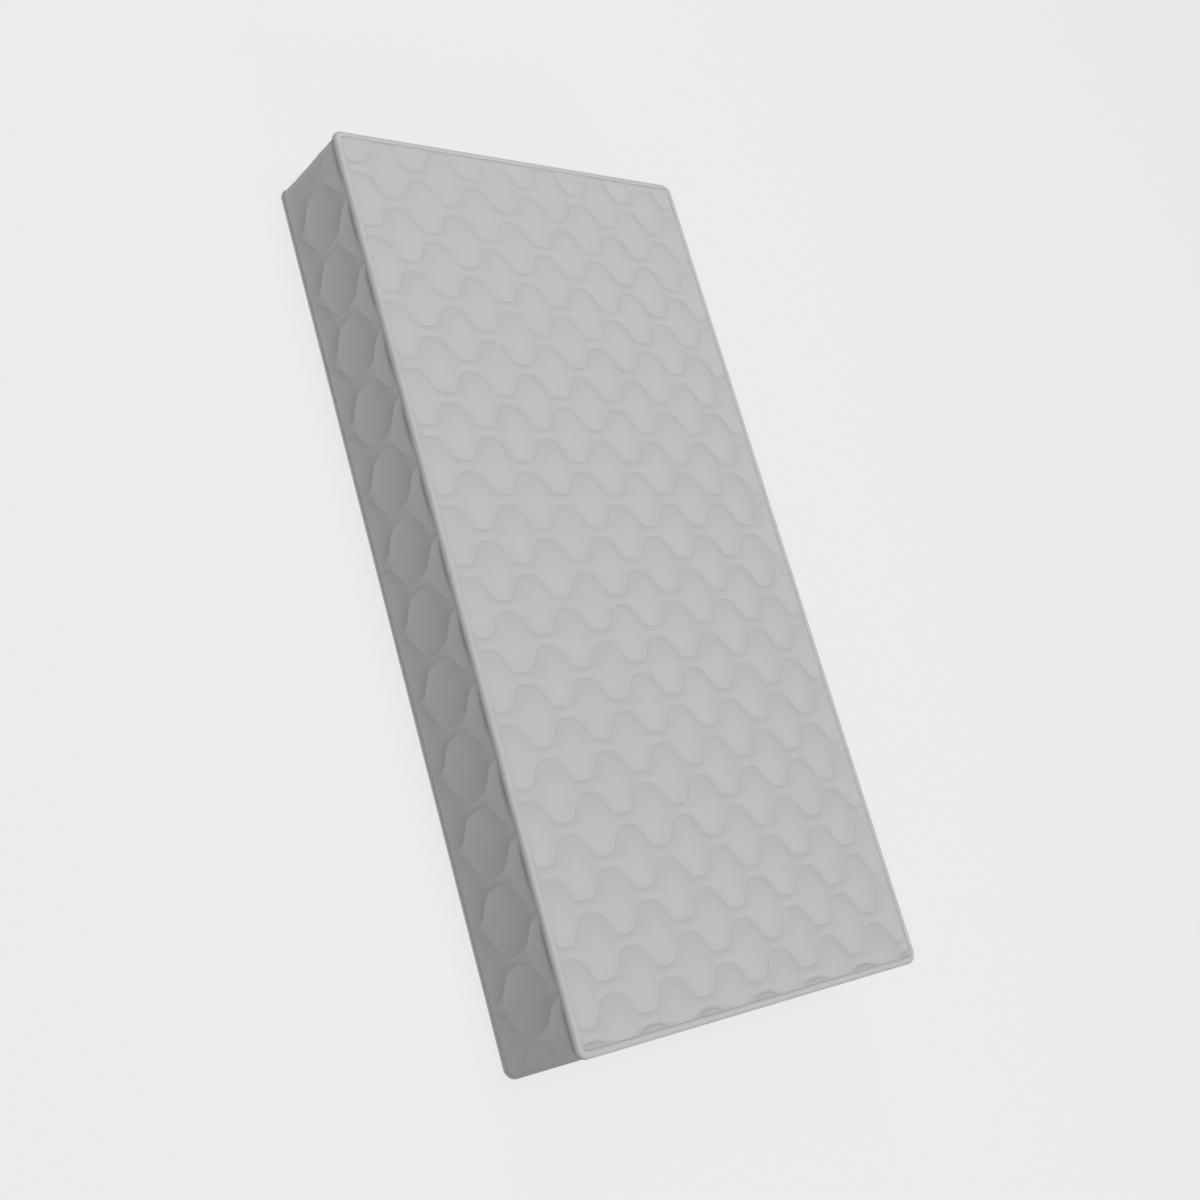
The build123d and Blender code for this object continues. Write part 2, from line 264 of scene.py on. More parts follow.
def cloth_material(name, colour, pitch, weave, roughness=0.88, sheen=0.15, spread=0.025, depth=0.12 * MM):
    """Make a woven or knitted cloth whose threads follow the piece's flat cloth coordinates.

    pitch is the size of one stitch or thread crossing, and weave is knit, plain or herringbone.
    """
    material, tree, shader, node = new_material(name)
    flat = node("ShaderNodeAttribute", attribute_name="cloth")
    crossings = node("ShaderNodeVectorMath", {0: flat.outputs["Vector"], 3: 1 / pitch}, operation="SCALE")
    axes = node("ShaderNodeSeparateXYZ", {0: crossings.outputs[0]})
    along, across = axes.outputs[0], axes.outputs[1]
    if weave == "plain":
        warp = math_node(node, "SINE", math_node(node, "MULTIPLY", along, 2 * math.pi))
        weft = math_node(node, "SINE", math_node(node, "MULTIPLY", across, 2 * math.pi))
        thread = math_node(node, "MULTIPLY", warp, weft)
    else:
        chevron = math_node(node, "PINGPONG", along, KNIT_TURN if weave == "knit" else HERRINGBONE_TURN)
        slanted = math_node(node, "ADD", across, chevron)
        rows = math_node(node, "SINE", math_node(node, "MULTIPLY", slanted, 2 * math.pi))
        columns = math_node(node, "COSINE", math_node(node, "MULTIPLY", along, 4 * math.pi))
        thread = math_node(node, "ADD", rows, math_node(node, "MULTIPLY", columns, COLUMN_HEIGHT))
    place = node("ShaderNodeTexCoord").outputs["Object"]
    fuzz = speckle(node, place, scale=900.0, detail=3.0)
    shade = speckle(node, place, scale=7.0, detail=4.0)
    # painted shade: the crease shade attribute darkens the cloth in its creases, seams and under the piping
    crease = node("ShaderNodeAttribute", attribute_name="crease").outputs["Fac"]
    tone = scaled(node, thread, CLOTH_TONE["thread"], CLOTH_TONE["base"])
    tone = math_node(node, "ADD", tone, math_node(node, "MULTIPLY", fuzz, CLOTH_TONE["fuzz"]))
    tone = math_node(node, "ADD", tone, math_node(node, "MULTIPLY", shade, CLOTH_TONE["shade"]))
    dark = darker(colour, 1 - 2.2 * spread)
    light = [min(1.0, c * (1 + 1.2 * spread)) for c in colour]
    plain = mix_colour(node, tone, dark, light)
    # the painted shade mixes the plain cloth towards this darker copy of its colour
    deepest = (*darker(colour, PAINTED_SHADE_TONE), 1)
    shaded = node("ShaderNodeMix", {0: crease, 6: plain, 7: deepest}, data_type="RGBA").outputs[2]
    rough = scaled(node, fuzz, FUZZ_ROUGHNESS, roughness - FUZZ_ROUGHNESS / 2)
    height = math_node(node, "ADD", thread, math_node(node, "MULTIPLY", fuzz, FUZZ_HEIGHT))
    bump = node("ShaderNodeBump", {"Height": height, "Strength": 0.5, "Distance": depth})
    connect(tree, shader, shaded, rough, bump)
    shader.inputs["Sheen Weight"].default_value = sheen
    shader.inputs["Sheen Roughness"].default_value = 0.5
    shader.inputs["Specular IOR Level"].default_value = 0.2
    return material


def foam_material(name, colour, pore):
    """Make an open-cell foam: a dull surface pitted with small pores."""
    material, tree, shader, node = new_material(name)
    place = node("ShaderNodeTexCoord").outputs["Object"]
    pores = node("ShaderNodeTexVoronoi", {"Vector": place, "Scale": 1 / pore}).outputs["Distance"]
    cloud = speckle(node, place, scale=12.0, detail=5.0)
    clouded = math_node(node, "MULTIPLY", cloud, 0.4)
    tone = math_node(node, "ADD", math_node(node, "MULTIPLY", pores, 0.7), clouded)
    dark = darker(colour, 0.82)
    rough = scaled(node, pores, amount=0.1, base=0.86)
    bump = node("ShaderNodeBump", {"Height": pores, "Strength": 0.7, "Distance": 0.4 * MM})
    connect(tree, shader, mix_colour(node, tone, dark, colour), rough, bump)
    return material


def metal_material(name, colour):
    """Make a nickel-plated die casting with fine scratches and slightly dull patches."""
    material, tree, shader, node = new_material(name)
    place = node("ShaderNodeTexCoord").outputs["Object"]
    stretched = node("ShaderNodeMapping", {"Vector": place, "Scale": (1.0, 0.08, 1.0)}).outputs[0]
    scratch = speckle(node, stretched, scale=6000.0, detail=4.0)
    patch = speckle(node, place, scale=300.0, detail=3.0)
    worn = mix_colour(node, patch, darker(colour, 0.85), colour)
    rough = scaled(node, scratch, amount=0.25, base=0.2)
    bump = node("ShaderNodeBump", {"Height": scratch, "Strength": 0.2, "Distance": 0.02 * MM})
    connect(tree, shader, worn, rough, bump)
    shader.inputs["Metallic"].default_value = 1.0
    return material


def nylon_material(name, colour):
    """Make the satin nylon of the zip's coils."""
    material, tree, shader, node = new_material(name)
    place = node("ShaderNodeTexCoord").outputs["Object"]
    grain = speckle(node, place, scale=2500.0, detail=2.0)
    mottled = mix_colour(node, grain, darker(colour, 0.9), colour)
    connect(tree, shader, mottled, scaled(node, grain, amount=0.15, base=0.35))
    return material


# PANEL_GREY is a little lighter than BORDER_GREY to make up for the painted crease shade that darkens the
# panels
PANEL_GREY = (0.543, 0.543, 0.543)
BORDER_GREY = (0.53, 0.53, 0.53)
PIPING_GREY = (0.56, 0.56, 0.56)
THREAD_GREY = (0.50, 0.50, 0.50)
ZIP_TAPE_GREY = (0.36, 0.36, 0.37)
COIL_GREY = (0.32, 0.32, 0.33)
NICKEL = (0.66, 0.65, 0.63)
SLEEVE_WHITE = (0.8, 0.8, 0.79)
BACKING_WHITE = (0.76, 0.76, 0.75)
FILL_WHITE = (0.82, 0.82, 0.79)

panel_cloth = cloth_material("panel_cloth", PANEL_GREY, 1.6 * MM, "knit")
border_cloth = cloth_material("border_cloth", BORDER_GREY, 1.6 * MM, "knit")
piping_cloth = cloth_material("piping_cloth", PIPING_GREY, 0.9 * MM, "plain", roughness=0.8, sheen=0.2)
thread_cloth = cloth_material("thread_cloth", THREAD_GREY, 0.5 * MM, "plain", roughness=0.6)
tape_cloth = cloth_material("tape_cloth", ZIP_TAPE_GREY, 0.8 * MM, "herringbone", roughness=0.75)
sleeve_cloth = cloth_material("sleeve_cloth", SLEEVE_WHITE, 1.2 * MM, "knit")
backing_cloth = cloth_material("backing_cloth", BACKING_WHITE, 2.2 * MM, "plain")
fill_foam = foam_material("fill_foam", FILL_WHITE, 1.4 * MM)
coil_nylon = nylon_material("coil_nylon", COIL_GREY)
zip_metal = metal_material("zip_metal", NICKEL)
core_foams = {
    "comfort_foam": foam_material("memory_foam", (0.80, 0.77, 0.68), 1.1 * MM),
    "transition_foam": foam_material("middle_foam", (0.62, 0.70, 0.74), 1.6 * MM),
    "support_foam": foam_material("core_foam", (0.76, 0.76, 0.74), 2.2 * MM),
}


# ---------------------------------------------------------------- meshes

def add_object(name, data):
    """Add an object that shows the data to the scene."""
    made = bpy.data.objects.new(name, data)
    bpy.context.scene.collection.objects.link(made)
    return made


def add_piece(name, vertices, faces, material, slot, cloth=None, smooth=True, **values):
    """Make a piece that rides on the mattress, with its flat cloth coordinates and other values by point."""
    mesh = bpy.data.meshes.new(name)
    mesh.from_pydata([tuple(v) for v in vertices], [], [tuple(int(i) for i in f) for f in faces])
    if cloth is not None:
        flat = np.zeros((len(vertices), 3), np.float32)
        flat[:, : np.shape(cloth)[1]] = cloth
        mesh.attributes.new("cloth", "FLOAT_VECTOR", "POINT").data.foreach_set("vector", flat.ravel())
    for key, value in values.items():
        attribute = mesh.attributes.new(key, "FLOAT", "POINT")
        attribute.data.foreach_set("value", np.asarray(value, np.float32).ravel())
    mesh.materials.append(material)
    if smooth:
        mesh.shade_smooth()
    piece = add_object(name, mesh)
    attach(piece, MATTRESS)
    return piece


def grid_faces(rows, columns, flip=False):
    """Return the quads of a grid of points that is rows by columns."""
    index = np.arange(rows * columns).reshape(rows, columns)
    quads = np.stack([index[:-1, :-1], index[:-1, 1:], index[1:, 1:], index[1:, :-1]], axis=-1).reshape(-1, 4)
    return quads[:, ::-1] if flip else quads


def clean(piece, distance=0.02 * MM):
    """Merge points that fell on each other and drop the faces that vanish with them."""
    body = bmesh.new()
    body.from_mesh(piece.data)
    bmesh.ops.remove_doubles(body, verts=body.verts, dist=distance)
    bmesh.ops.dissolve_degenerate(body, edges=body.edges, dist=distance)
    loose = [v for v in body.verts if not v.link_faces]
    bmesh.ops.delete(body, geom=loose, context="VERTS")
    body.to_mesh(piece.data)
    body.free()


def smoothstep(value):
    """Ease from 0 to 1 as value goes from 0 to 1."""
    value = np.clip(value, 0, 1)
    return value * value * (3 - 2 * value)


def line_place(wave, u, k):
    """Return where stitch line k lies across the pattern, for positions u along it."""
    turn = 2 * np.pi * (np.asarray(u) - wave["start_u"]) / wave["period"] + k * np.pi
    bend = wave["swing"] * np.cos(turn) + wave["square"] * np.cos(3 * turn) + wave["round"] * np.cos(5 * turn)
    return wave["start_v"] + k * wave["spacing"] + bend


def lines_between(wave, low, high):
    """Return the numbers of the stitch lines whose bands cover the stretch from low to high."""
    reach = abs(wave["swing"])
    first = math.floor((low - reach - wave["start_v"]) / wave["spacing"])
    last = math.ceil((high + reach - wave["start_v"]) / wave["spacing"])
    return range(first, last + 1)


def line_tree(wave, u_low, u_high, lines):
    """Return a search tree over points a millimetre apart along the stitch lines."""
    u = np.arange(u_low, u_high + MM, MM)
    tree = KDTree(len(u) * len(lines))
    for row, k in enumerate(lines):
        for column, v in enumerate(line_place(wave, u, k)):
            tree.insert((u[column], v, 0), row * len(u) + column)
    tree.balance()
    return tree


def band_steps():
    """Return the row positions across one band, close together at the stitch lines."""
    near = np.array(ROW_STEPS) / 2
    return np.concatenate([near, 1 - near[-2::-1]])


def quilt_grid(wave, u, lines, low, high):
    """Lay rows between neighbouring stitch lines and return the pattern coordinates u and v as grids.

    Rows run along the lines, and those past the first inner row of an edge fall on it. The two outermost rows
    at each end follow the edge.
    """
    steps = band_steps()
    near_edge, inner = EDGE_STEPS
    edges = [np.full_like(u, place) for place in (low, low + near_edge, high - near_edge, high)]
    low, high = low + inner, high - inner
    rows = edges[:2]
    for k in lines[:-1]:
        near = np.clip(line_place(wave, u, k), low, high)
        far = np.clip(line_place(wave, u, k + 1), low, high)
        used = steps if k == lines[-2] else steps[:-1]
        rows.extend(near + (far - near) * step for step in used)
    v = np.array(rows + edges[2:])
    return np.broadcast_to(u, v.shape).copy(), v


def stitched_rows(grid, first=0):
    """Tell which points of a grid are in the rows that follow a stitch line, the first being row first."""
    rows = (np.arange(len(grid)) - first) % (len(band_steps()) - 1) == 0
    return np.broadcast_to(rows[:, None], grid.shape)


def distances(tree, u, v, on_line):
    """Return each grid point's distance to its nearest stitch line."""
    found = np.array([tree.find((a, b, 0))[2] for a, b in zip(u.ravel(), v.ravel())]).reshape(u.shape)
    found[on_line] = np.where(found[on_line] < NEAR_LINE, 0, found[on_line])
    return found


def soft_rise(distance, reach):
    """Return the rise of a lightly padded quilt, from 0 on a stitch line to 1 on the flat of a cell."""
    return smoothstep(distance / reach)


def pillow_rise(distance, reach):
    """Return the rise of a fuller quilt, which is steepest near the stitch line and rounds off slowly."""
    step = np.linspace(0, reach, PROFILE_STEPS)
    share = step / BORDER_STEEPEST
    slope = (share * np.exp(1 - share)) ** PILLOW_SHARPNESS
    height = np.cumsum(slope)
    return np.interp(distance, step, height / height[-1])


def groove(distance, shape):
    """Return the depth of the narrow dent under the stitches, for a dent of the shape (depth, half width)."""
    depth, half_width = shape
    return depth * (1 - smoothstep(distance / half_width))


def crease_depth(distance, parts):
    """Return the share of painted shade in a crease, seam or recess, for parts that are each a share and a
    reach.
    """
    return sum(share * np.exp(-distance / reach) for share, reach in parts)


def smooth_noise(points, scale, seed):
    """Return smooth noise from -1 to 1 at each point."""
    return np.array([noise.noise(Vector((p[0] * scale + seed, p[1] * scale, p[2] * scale))) for p in points])


def read_points(mesh):
    """Return a mesh's vertex positions as an array."""
    flat = np.empty(len(mesh.vertices) * 3)
    mesh.vertices.foreach_get("co", flat)
    return flat.reshape(-1, 3)


class Settled:
    """How far a simulated cloth moved, so that the padding under it can follow."""

    def __init__(self, start, move):
        self.tree = KDTree(len(start))
        for number, point in enumerate(start):
            self.tree.insert(point, number)
        self.tree.balance()
        self.move = move

    def follow(self, points):
        """Return points moved as the nearest point of the cloth moved."""
        near = [self.tree.find(p)[1] for p in points.reshape(-1, 3)]
        return points + self.move[near].reshape(points.shape)


def settle(piece, cap, frames=SETTLE_FRAMES):
    """Let the cloth settle between the points that its "sewn" attribute holds, no further than cap."""
    mesh = piece.data
    start = read_points(mesh)
    held = np.empty(len(mesh.vertices), np.float32)
    mesh.attributes["sewn"].data.foreach_get("value", held)
    group = piece.vertex_groups.new(name="sewn_points")
    group.add([int(i) for i in np.flatnonzero(held > 0.5)], 1.0, "REPLACE")
    modifier = piece.modifiers.new("Cloth", "CLOTH")
    cloth = modifier.settings
    cloth.quality = 4
    cloth.mass = 0.3
    cloth.tension_stiffness = 12
    cloth.compression_stiffness = 12
    cloth.shear_stiffness = 6
    cloth.bending_stiffness = 0.6
    cloth.vertex_group_mass = "sewn_points"
    cloth.use_pressure = True
    cloth.uniform_pressure_force = PRESSURE
    cloth.effector_weights.gravity = 0
    modifier.point_cache.frame_start = 1
    modifier.point_cache.frame_end = frames
    scene = bpy.context.scene
    for number in range(1, frames + 1):
        scene.frame_set(number)
    settled = piece.evaluated_get(bpy.context.evaluated_depsgraph_get())
    move = read_points(settled.to_mesh()) - start
    settled.to_mesh_clear()
    length = np.linalg.norm(move, axis=1, keepdims=True)
    move *= np.minimum(1, cap / np.maximum(length, 1e-9))
    mesh.vertices.foreach_set("co", (start + move).ravel())
    piece.modifiers.remove(modifier)
    piece.vertex_groups.remove(group)
    scene.frame_set(1)
    mesh.update()
    return Settled(start, move)


def make_shell(piece, thickness):
    """Give a face cloth its thickness, inward from the side that shows."""
    shell = piece.modifiers.new("Thickness", "SOLIDIFY")
    shell.thickness = thickness
    shell.offset = -1
    shell.use_rim = True
    shell.use_even_offset = False


def closed_block(name, outer, inner, flip, material, slot, cloth=None, smooth=False):
    """Make a closed piece between two grids of points, with walls round its rim."""
    rows, columns = outer.shape[:2]
    count = rows * columns
    face = grid_faces(rows, columns, flip=flip)
    index = np.arange(count).reshape(rows, columns)
    rim = np.concatenate([index[0, :-1], index[:-1, -1], index[-1, :0:-1], index[:0:-1, 0]])
    after = np.roll(rim, -1)
    walls = np.stack([rim, rim + count, after + count, after], axis=1)
    faces = np.concatenate([face, face[:, ::-1] + count, walls[:, ::-1] if flip else walls])
    points = np.concatenate([outer.reshape(-1, 3), inner.reshape(-1, 3)])
    both = None if cloth is None else np.concatenate([cloth.reshape(-1, 2)] * 2)
    block = add_piece(name, points, faces, material, slot, cloth=both, smooth=smooth)
    clean(block)
    return block


def edge_room(edge, reach):
    """Return the extra room between cloth and padding near an edge, where the cloth turns to its seam."""
    return EDGE_GAP * (1 - smoothstep(edge / reach / EDGE_GAP_REACH))


def every_second(count):
    """Return every second index up to count, and always the last one."""
    return np.unique(np.append(np.arange(0, count, 2), count - 1))


# ---------------------------------------------------------------- panels

def panel_height(u, v, distance, half, side, puff, rise, crown_z):
    """Return the level of a panel's face at pattern points that lie that distance from a stitch line."""
    edge = np.minimum(half[0] - np.abs(u), half[1] - np.abs(v))
    sewn = 1 - smoothstep(edge / PANEL_EDGE_REACH)
    depth = puff * CROWN_SWELL - rise + groove(distance, PANEL_GROOVE)
    z = crown_z - side * (depth * (1 - sewn) + PANEL_EDGE * sewn)
    return z if side > 0 else np.maximum(z, crown_z)


def panel_grid(half, corner):
    """Return the pattern points of a panel's grid in its rounded outline, and their stitch line distances."""
    columns = round(2 * half[0] / (PANEL_WAVE["period"] / COLUMNS_PER_PERIOD)) + 1
    lines = lines_between(PANEL_WAVE, -half[1], half[1])
    near_edge, inner = EDGE_STEPS
    across = np.linspace(inner - half[0], half[0] - inner, columns)
    crest_turn = 4 * np.pi * (across - PANEL_WAVE["start_u"]) / PANEL_WAVE["period"]
    crowd = CREST_CROWDING * PANEL_WAVE["period"] / (4 * np.pi)
    across[1:-1] -= crowd * np.sin(crest_turn[1:-1])
    across = np.concatenate([[-half[0], near_edge - half[0]], across, [half[0] - near_edge, half[0]]])
    u, v = quilt_grid(PANEL_WAVE, across, lines, -half[1], half[1])
    over_x = np.abs(u) - (half[0] - corner)
    over_y = np.abs(v) - (half[1] - corner)
    outside = (over_x > 0) & (over_y > 0)
    shrink = np.where(outside, np.minimum(1, corner / np.maximum(np.hypot(over_x, over_y), 1e-9)), 1)
    u = np.where(outside, np.sign(u) * (half[0] - corner + over_x * shrink), u)
    v = np.where(outside, np.sign(v) * (half[1] - corner + over_y * shrink), v)
    tree = line_tree(PANEL_WAVE, -half[0] - LINE_SPARE, half[0] + LINE_SPARE, lines)
    return u, v, distances(tree, u, v, stitched_rows(u, first=2))


def make_panel(name, side, puff, reach, crown_z, cap):
    """Make one panel's face cloth, seen from side +1 (above) or -1 (below), and its quilting foam."""
    low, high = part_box(f"{name}_fabric")
    half = (high.x, high.y)
    u, v, distance = panel_grid(half, OUTER_CORNER - (cad_high.x - high.x))
    spot = np.stack([u.ravel(), v.ravel(), np.zeros(u.size)], axis=1)
    uneven = 1 + UNEVEN * smooth_noise(spot, UNEVEN_SCALE, seed=3).reshape(u.shape)
    rise = puff * soft_rise(distance, reach) * uneven
    z = panel_height(u, v, distance, half, side, puff, rise, crown_z)
    edge = np.minimum(half[0] - np.abs(u), half[1] - np.abs(v))
    points = np.stack([u, v, z], axis=-1)
    # painted shade along the stitch lines, in the cells' valleys and along the seam with the piping
    cover = add_piece(f"{name}_cover", points.reshape(-1, 3), grid_faces(*u.shape, flip=side < 0),
                      panel_cloth, "panel_cloth", cloth=points[..., :2].reshape(-1, 2),
                      crease=crease_depth(distance, PANEL_CREASE_SHADE) + crease_depth(edge, PANEL_SEAM_SHADE),
                      sewn=(distance < HELD_DISTANCE) | (edge < HELD_DISTANCE))
    clean(cover, PANEL_MERGE)
    settled = settle(cover, cap)
    make_shell(cover, CLOTH_THICKNESS)
    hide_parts(f"{name}_fabric")

    fill_low, fill_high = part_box(f"{name}_fill")
    chosen = np.ix_(every_second(u.shape[0]), every_second(u.shape[1]))
    outer = settled.follow(points[chosen])
    outer[..., 2] -= side * (CLOTH_THICKNESS + FILL_GAP + edge_room(edge[chosen], PANEL_EDGE_REACH))
    inner = outer.copy()
    inner[..., 2] = fill_low.z if side > 0 else fill_high.z
    depth = np.maximum(side * (outer[..., 2] - inner[..., 2]), THINNEST_FILL)
    outer[..., 2] = inner[..., 2] + side * depth
    filling = closed_block(f"{name}_filling", outer, inner, side < 0, fill_foam, "quilt_foam")
    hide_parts(f"{name}_fill")


# ---------------------------------------------------------------- border

class Outline:
    """The mattress's rounded plan outline, set in from the outer edge, as a path by distance.

    Distance 0 is the middle of the -X side and grows towards +Y there, so it runs clockwise from above.
    """

    def __init__(self, inset):
        self.x = cad_high.x - OUTER_CORNER
        self.y = cad_high.y - OUTER_CORNER
        self.radius = OUTER_CORNER - inset
        self.quarter = math.pi / 2 * self.radius
        self.length = 4 * (self.x + self.y) + 4 * self.quarter

    def at(self, s):
        """Return points and outward directions at the distances s."""
        s = np.mod(np.asarray(s, float) + self.y, self.length)
        runs = (2 * self.y, self.quarter, 2 * self.x, self.quarter) * 2
        point = np.zeros(s.shape + (2,))
        outward = np.zeros(s.shape + (2,))
        centre = np.array([-self.x, -self.y])
        heading = np.array([0.0, 1.0])
        begun = 0.0
        for number, run in enumerate(runs):
            left = np.array([-heading[1], heading[0]])
            inside = ((s >= begun) & (s <= begun + run))[..., None]
            part = (s - begun)[..., None]
            straight = number % 2 == 0
            angle = 0 * part if straight else part / self.radius
            facing = left * np.cos(angle) + heading * np.sin(angle)
            here = centre + facing * self.radius + (heading * part if straight else 0)
            point = np.where(inside, here, point)
            outward = np.where(inside, facing, outward)
            if straight:
                centre = centre + heading * run
            else:
                heading = -left
            begun += run
        return point, outward


border_low, border_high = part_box("border_fabric")
tape_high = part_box("zip_tape_upper")[1]
BORDER_INSET = cad_high.x - border_high.x
BACKING_INSET = cad_high.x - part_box("border_backing")[1].x
path = Outline(BORDER_INSET)
SEAM_S = path.y + path.quarter + 2 * path.x - SEAM_TO_CORNER


def seam_distance(s):
    """Return how far along the path the border's closing seam is."""
    return np.minimum(SEAM_S - s, s - SEAM_S + path.length)


def over_zip(s):
    """Return 1 where the border stands over the zip and 0 elsewhere, with a soft step at the zip's ends."""
    point, outward = path.at(s)
    step = smoothstep((tape_high.y - np.abs(point[..., 1])) / ZIP_END_STEP)
    return np.where(outward[..., 0] > FACING_SIDE, step, 0)


def border_foot(s):
    """Return the level of the border's lower edge."""
    return border_low.z + over_zip(s) * (tape_high.z - border_low.z)


def border_point(s, z, offset):
    """Return points of the border, offset outward from its CAD face."""
    point, outward = path.at(s)
    flat = point + outward * np.asarray(offset)[..., None]
    return np.concatenate([flat, np.broadcast_to(z, flat.shape[:-1])[..., None]], axis=-1)


def border_grid():
    """Return the levels and path distances of the border's grid: rows follow the stitch lines up the side."""
    height = border_high.z - border_low.z
    near_edge, inner = EDGE_STEPS
    share = np.linspace(0, 1, BORDER_COLUMNS)
    share = share - CREST_CROWDING / (4 * np.pi) * np.sin(4 * np.pi * share)
    share = (inner + share * (height - 2 * inner)) / height
    share = np.concatenate([[0, near_edge / height], share, [1 - near_edge / height, 1]])
    low, high = SEAM_S - path.length, SEAM_S
    lines = lines_between(BORDER_WAVE, low, high)
    levels, places = [], []
    for k in lines[:-1]:
        for step in band_steps() if k == lines[-2] else band_steps()[:-1]:
            z = border_low.z + share * height
            for _ in range(BORDER_PASSES):
                near = np.clip(line_place(BORDER_WAVE, z, k), low, high)
                far = np.clip(line_place(BORDER_WAVE, z, k + 1), low, high)
                s = near + (far - near) * step
                foot = border_foot(s)
                z = foot + share * (border_high.z - foot)
            levels.append(z)
            places.append(s)
    z, s = np.array(levels), np.array(places)
    tree = line_tree(BORDER_WAVE, border_low.z - LINE_SPARE, border_high.z + LINE_SPARE, lines)
    return z, s, distances(tree, z, s, stitched_rows(z))


def border_offset(z, s, distance, rise):
    """Return how far the border's face stands out from its CAD face, from its rise above the stitch lines."""
    above_foot = z - border_foot(s)
    below_top = border_high.z - z
    to_seam = seam_distance(s)
    dip = SEAM_DIP * (1 - smoothstep(to_seam / SEAM_DIP_REACH))
    dent = groove(np.minimum(distance, to_seam), BORDER_GROOVE)
    offset = BORDER_PROUD + rise - BORDER_PUFF * CROWN_SWELL - dent - dip
    point, _ = path.at(s)
    to_corner = np.maximum(path.x - np.abs(point[..., 0]), path.y - np.abs(point[..., 1]))
    taut = CORNER_TAUT * (1 - smoothstep(to_corner / CORNER_REACH))
    offset = offset * (1 - taut) - CORNER_SET * taut
    for edge, depth, reach in zip((above_foot, below_top), BORDER_EDGE, BORDER_EDGE_REACH):
        sewn = 1 - smoothstep(edge / reach)
        offset = offset * (1 - sewn) - depth * sewn
    return offset


def make_border():
    """Make the border's face cloth, with its turned hem over the zip, and the quilting foam under it."""
    z, s, distance = border_grid()
    turn = 2 * np.pi * s / path.length
    around = np.stack([2 * np.cos(turn), 2 * np.sin(turn), z], axis=-1).reshape(-1, 3)
    uneven = 1 + UNEVEN * smooth_noise(around, UNEVEN_SCALE, seed=5).reshape(z.shape)
    offset = border_offset(z, s, distance, BORDER_PUFF * pillow_rise(distance, BORDER_REACH) * uneven)
    foot_s, foot_z, foot_offset, hem = s[:, :1], z[:, :1], offset[:, :1], over_zip(s[:, :1])
    turned = [border_point(foot_s, foot_z - hem * drop, foot_offset - inward) for inward, drop in HEM]
    grid = np.concatenate([*turned, border_point(s, z, offset)], axis=1)
    under = np.concatenate([foot_z - inward for inward, _ in HEM], axis=1)
    across = np.concatenate([foot_s] * len(HEM) + [s], axis=1)
    flat = np.stack([across, np.concatenate([under, z], axis=1)], axis=-1)
    edge = np.minimum(z - border_foot(s), border_high.z - z)
    to_seam = seam_distance(s)
    # painted shade: darker along the stitch lines, at the closing seam and in a band under the upper piping
    crease = crease_depth(distance, BORDER_CREASE_SHADE) + crease_depth(to_seam, BORDER_SEAM_SHADE)
    crease += crease_depth(border_high.z - z, BORDER_TOP_SHADE)
    held = (distance < HELD_DISTANCE) | (edge < HELD_DISTANCE) | (to_seam < HELD_DISTANCE)
    cover = add_piece("border_cover", grid.reshape(-1, 3), grid_faces(*grid.shape[:2]), border_cloth,
                      "border_cloth", cloth=flat.reshape(-1, 2),
                      crease=np.concatenate([np.zeros_like(under), crease], axis=1),
                      sewn=np.concatenate([np.ones_like(under), held], axis=1))
    clean(cover)
    settled = settle(cover, BORDER_CAP)
    make_shell(cover, CLOTH_THICKNESS)
    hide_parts("border_fabric")

    chosen = np.ix_(every_second(z.shape[0]), every_second(z.shape[1]))
    outer = settled.follow(grid[:, len(HEM):][chosen])
    room = CLOTH_THICKNESS + FILL_GAP + edge_room(edge[chosen], BORDER_EDGE_REACH[1])
    outer[..., :2] -= path.at(s[chosen])[1] * room[..., None]
    outer[..., 2] = np.maximum(outer[..., 2], border_foot(s[chosen]) + CLOTH_THICKNESS + FILL_GAP)
    inner = border_point(s[chosen], outer[..., 2], np.full(s[chosen].shape, BORDER_INSET - BACKING_INSET))
    filling = closed_block("border_filling", outer, inner, False, fill_foam, "quilt_foam")
    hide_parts("border_fill")


# ---------------------------------------------------------------- stitches

def even_steps(place, low, high):
    """Return positions between low and high that are one stitch apart along the curve that place draws."""
    u = np.linspace(low, high, CURVE_POINTS)
    run = np.concatenate([[0], np.cumsum(np.hypot(np.diff(u), np.diff(place(u))))])
    return np.interp(np.arange(0, run[-1], STITCH), run, u)


def unbroken(inside):
    """Return the index runs over which inside stays true, leaving out those too short to sew."""
    parts = np.split(np.arange(len(inside)), np.flatnonzero(np.diff(inside.astype(int))) + 1)
    return [part for part in parts if len(part) > 2 and inside[part[0]]]


def sew(name, runs, facings, slot):
    """Make one short stitch between each two points of every run, on cloth that faces the way given."""
    points, faces = [], []
    for run, facing in zip(runs, facings):
        along = run[1:] - run[:-1]
        begin = run[:-1] + along * STITCH_GAP / 2
        end = run[1:] - along * STITCH_GAP / 2
        facing = facing[:-1]
        across = np.cross(along, facing)
        across /= np.linalg.norm(across, axis=1, keepdims=True)
        middle = (begin + end) / 2 + facing * THREAD_RADIUS * THREAD_LIFT
        ring = [middle + side * THREAD_RADIUS for side in (across, facing, -across, -facing)]
        first = sum(len(p) for p in points)
        base = first + np.arange(len(begin))[:, None] * (2 + len(ring))
        for a, b in ((2, 3), (3, 4), (4, 5), (5, 2)):
            faces.append(base + np.array([0, a, b]))
            faces.append(base + np.array([1, b, a]))
        points.append(np.stack([begin, end, *ring], axis=1).reshape(-1, 3))
    points = np.concatenate(points)
    return add_piece(name, points, np.concatenate(faces), thread_cloth, slot, cloth=points)


